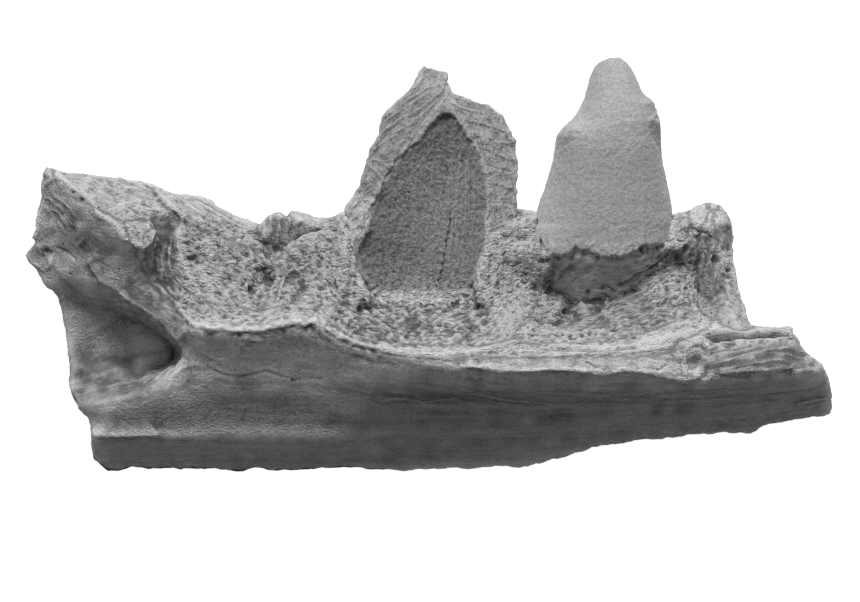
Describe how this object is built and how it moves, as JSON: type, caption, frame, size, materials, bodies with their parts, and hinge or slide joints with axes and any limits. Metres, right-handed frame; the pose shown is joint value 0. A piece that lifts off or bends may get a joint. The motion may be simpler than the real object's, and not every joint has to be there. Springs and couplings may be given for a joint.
{
  "type": "fossil lower jaw",
  "caption": "Broken piece of a small reptile's lower jaw, seen from the inner side, with a whole pointed tooth, a split hollow tooth, spongy sockets and a smooth ledge.",
  "frame": {"origin": "centre of the object's box in plan, on the surface that it lies on", "axes": "+X along the jaw from the broken hollow end to the broken narrow end, +Y from the lower margin of the jaw to the tips of the teeth, +Z from the outer face, which it lies on, to the inner face"},
  "size_m": [0.008, 0.0042, 0.0023],
  "materials": {
    "bone": "matt fossil bone, spongy and layered where it is broken",
    "broken_dentine": "matt broken dentine, rough on the break and smoother in the pulp cavity",
    "enamel": "smooth, faintly grained tooth surface with a soft sheen"
  },
  "bodies": {
    "root": {"jaw_bone": "bone", "broken_tooth": "broken_dentine", "whole_tooth": "enamel"}
  },
  "joints": []
}
